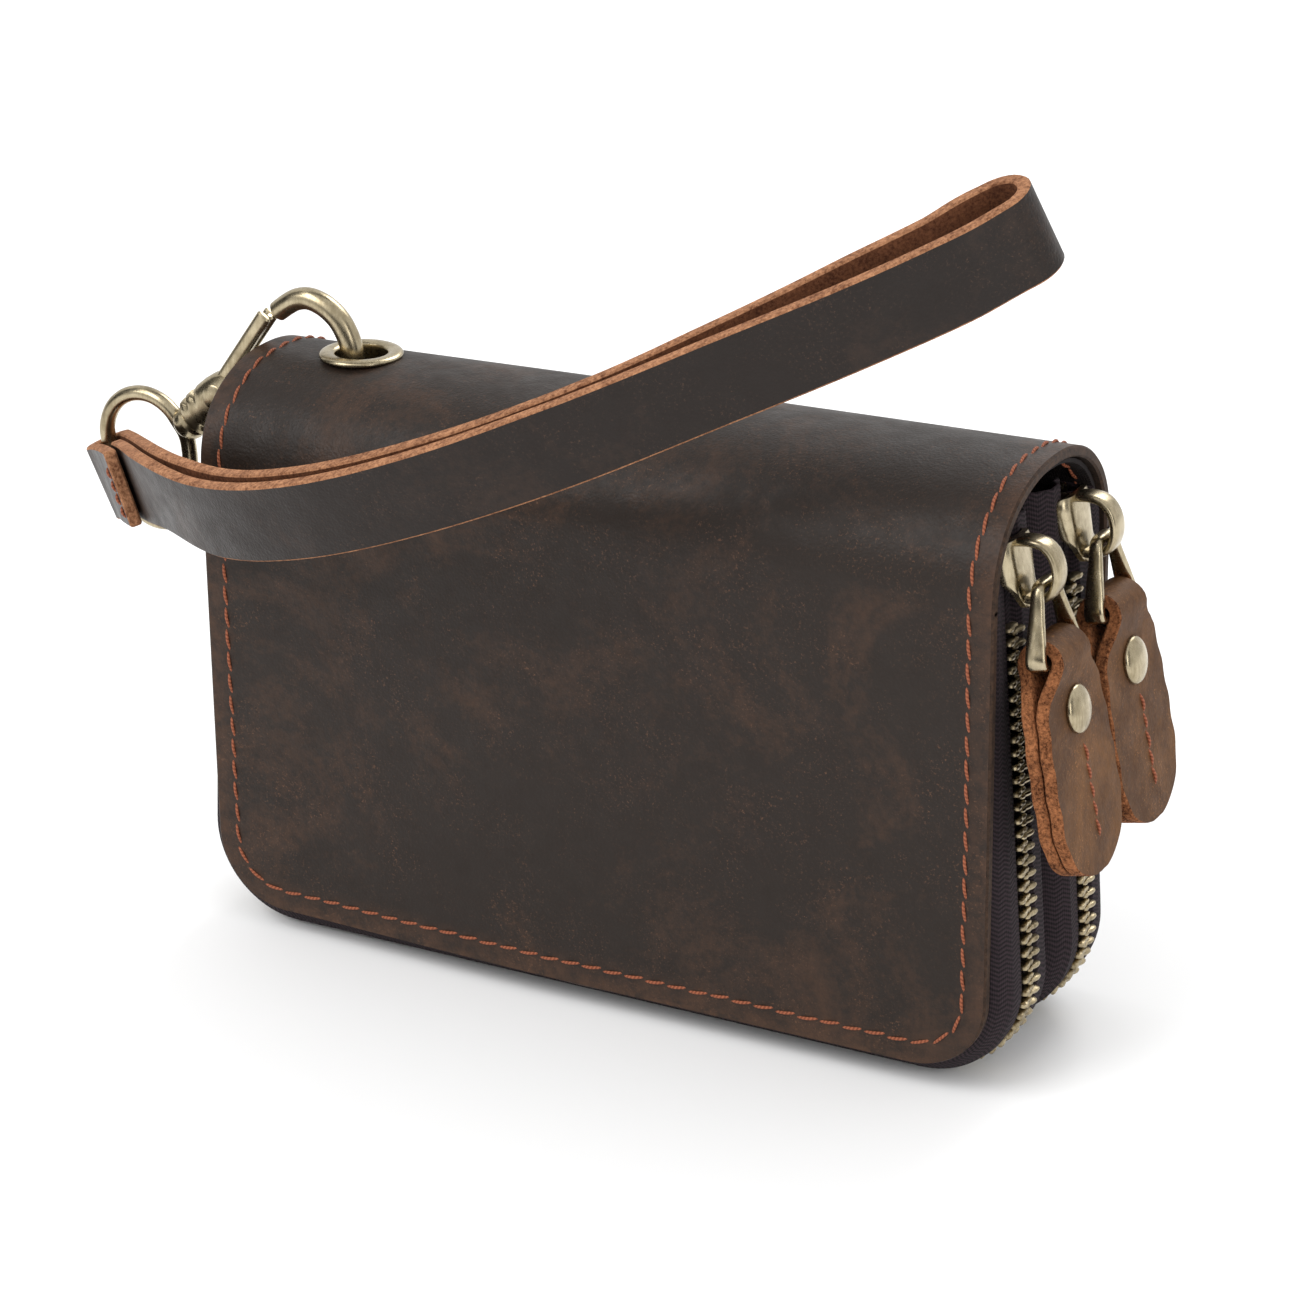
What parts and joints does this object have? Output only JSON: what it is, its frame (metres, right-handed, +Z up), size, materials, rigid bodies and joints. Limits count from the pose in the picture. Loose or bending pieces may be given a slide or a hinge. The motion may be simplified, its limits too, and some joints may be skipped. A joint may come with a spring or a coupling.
{
  "type": "zippered pouch",
  "caption": "Leather wrist pouch standing on two zips that run round three sides, with an arched spine, riveted pull tabs, an eyelet, a swivel clasp and a strap loop.",
  "frame": {"origin": "on the table under the front zip's inner row, at the middle of the pouch's length", "axes": "+X along the pouch towards the sliders, +Y from the front cover to the back cover, +Z up"},
  "size_m": [0.2179, 0.0818, 0.162],
  "materials": {
    "wrap_leather": "waxed",
    "strap_leather": "waxed",
    "tab_leather": "oiled",
    "lining_cloth": "woven",
    "zip_tape": "herringbone woven",
    "antique_brass": "antique"
  },
  "bodies": {
    "pouch_core": {"spine_leather": "wrap_leather", "spine_lining": "lining_cloth", "divider": "lining_cloth", "card_pocket_back": "lining_cloth", "card_pocket_front": "lining_cloth", "slip_pocket": "lining_cloth", "front_inner_tape": "zip_tape", "back_inner_tape": "zip_tape", "front_inner_teeth": "antique_brass", "back_inner_teeth": "antique_brass", "eyelet": "antique_brass", "eyelet_washer": "antique_brass"},
    "front_cover": {"front_panel": "wrap_leather", "front_lining": "lining_cloth", "front_outer_tape": "zip_tape", "front_outer_teeth": "antique_brass"},
    "back_cover": {"back_panel": "wrap_leather", "back_lining": "lining_cloth", "back_outer_tape": "zip_tape", "back_outer_teeth": "antique_brass"},
    "clasp": {"clasp_hook": "antique_brass", "gate_pin": "antique_brass"},
    "gate": {"clasp_gate": "antique_brass"},
    "swivel": {"swivel_ring": "antique_brass"},
    "strap": {"wrist_strap": "strap_leather"},
    "front_slider": {"front_slider_body": "antique_brass", "front_slider_bridge": "antique_brass"},
    "front_pull": {"front_pull_ring": "antique_brass"},
    "front_tab": {"front_pull_tab": "tab_leather", "front_rivet_cap": "antique_brass", "front_rivet_post": "antique_brass"},
    "back_slider": {"back_slider_body": "antique_brass", "back_slider_bridge": "antique_brass"},
    "back_pull": {"back_pull_ring": "antique_brass"},
    "back_tab": {"back_pull_tab": "tab_leather", "back_rivet_cap": "antique_brass", "back_rivet_post": "antique_brass"}
  },
  "joints": [
    {"name": "front_cover_hinge", "type": "hinge", "parent": "pouch_core", "child": "front_cover", "pos_m": [0, -0.0144, 0.0802], "axis": [-1, 0, 0], "range_deg": [0, 75]},
    {"name": "back_cover_hinge", "type": "hinge", "parent": "pouch_core", "child": "back_cover", "pos_m": [0, 0.0356, 0.0802], "axis": [1, 0, 0], "range_deg": [0, 75]},
    {"name": "front_slider_slide", "type": "slide", "parent": "pouch_core", "child": "front_slider", "axis": [0.0698, 0, -0.9976], "range_m": [0, 0.04]},
    {"name": "front_pull_hinge", "type": "hinge", "parent": "front_slider", "child": "front_pull", "pos_m": [0.0842, -0.0019, 0.09357], "axis": [0, -1, 0], "range_deg": [0, 60]},
    {"name": "front_tab_hinge", "type": "hinge", "parent": "front_pull", "child": "front_tab", "pos_m": [0.0862, -0.0019, 0.0805], "axis": [0, -1, 0], "range_deg": [-4, 20]},
    {"name": "back_slider_slide", "type": "slide", "parent": "pouch_core", "child": "back_slider", "axis": [0.0698, 0, -0.9976], "range_m": [0, 0.04]},
    {"name": "back_pull_hinge", "type": "hinge", "parent": "back_slider", "child": "back_pull", "pos_m": [0.0842, 0.0231, 0.09357], "axis": [0, -1, 0], "range_deg": [0, 60]},
    {"name": "back_tab_hinge", "type": "hinge", "parent": "back_pull", "child": "back_tab", "pos_m": [0.0862, 0.0231, 0.0805], "axis": [0, -1, 0], "range_deg": [-4, 20]},
    {"name": "clasp_swing", "type": "hinge", "parent": "pouch_core", "child": "clasp", "pos_m": [-0.0595, 0.0106, 0.10943], "axis": [0, 0, 1], "range_deg": [0, 10]},
    {"name": "gate_hinge", "type": "hinge", "parent": "clasp", "child": "gate", "pos_m": [-0.0905, 0.0106, 0.0975], "axis": [0, 1, 0], "range_deg": [0, 2.5], "stiffness_Nm_per_rad": 0.01, "springref_deg": -11.46},
    {"name": "swivel_turn", "type": "hinge", "parent": "clasp", "child": "swivel", "pos_m": [-0.09692, 0.0106, 0.09178], "axis": [-0.7467, 0, -0.6652], "range_deg": [0, 60]},
    {"name": "strap_hinge", "type": "hinge", "parent": "swivel", "child": "strap", "pos_m": [-0.1146, 0.0106, 0.0775], "axis": [0.4392, 0, -0.8984], "range_deg": [0, 60]}
  ]
}
